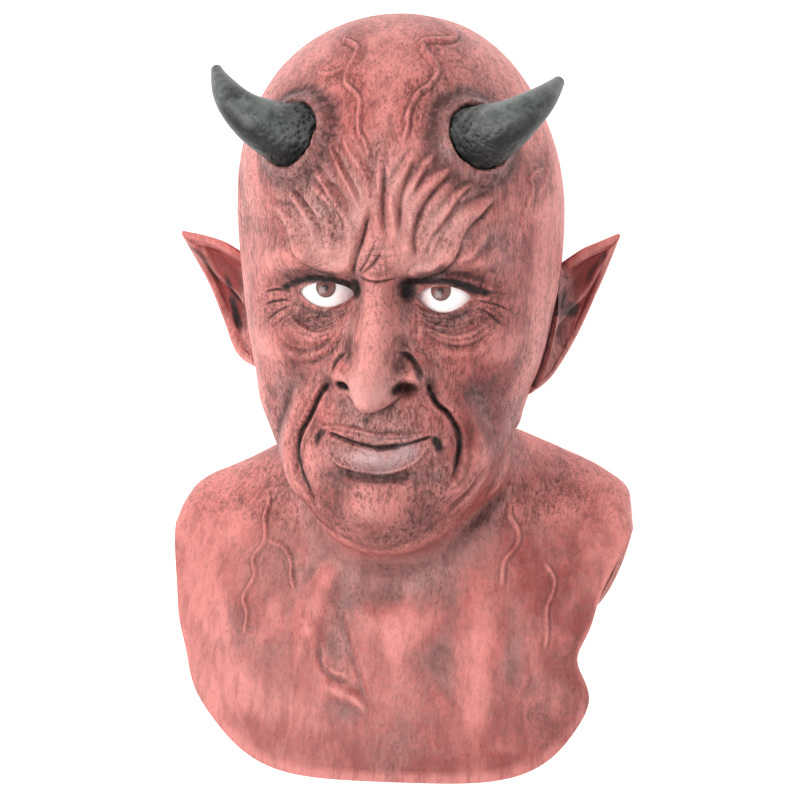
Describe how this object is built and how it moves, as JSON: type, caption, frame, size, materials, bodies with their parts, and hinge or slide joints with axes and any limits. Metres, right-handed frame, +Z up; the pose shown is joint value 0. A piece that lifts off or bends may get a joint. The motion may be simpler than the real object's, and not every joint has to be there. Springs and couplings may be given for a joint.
{
  "type": "latex devil mask",
  "caption": "Full-head latex devil mask with horns, pointed ears, a furrowed face and a chest bib, hollow and open below.",
  "frame": {"origin": "on the ground under the middle of the mask's box", "axes": "+Y runs from the chest bib to the crown, +Z up out of the face, +X to the right as seen from above"},
  "size_m": [0.2592, 0.416, 0.2433],
  "materials": {
    "skin_latex": "satin latex, salmon red with dark wash in the creases",
    "horn_resin": "dark grey, pitted at the base and smooth at the tip",
    "eye_glaze": "glossy white with a brown iris"
  },
  "bodies": {
    "root": {"mask_skin": "skin_latex", "horn_left": "horn_resin", "horn_right": "horn_resin", "eye_left": "eye_glaze", "eye_right": "eye_glaze"}
  },
  "joints": []
}
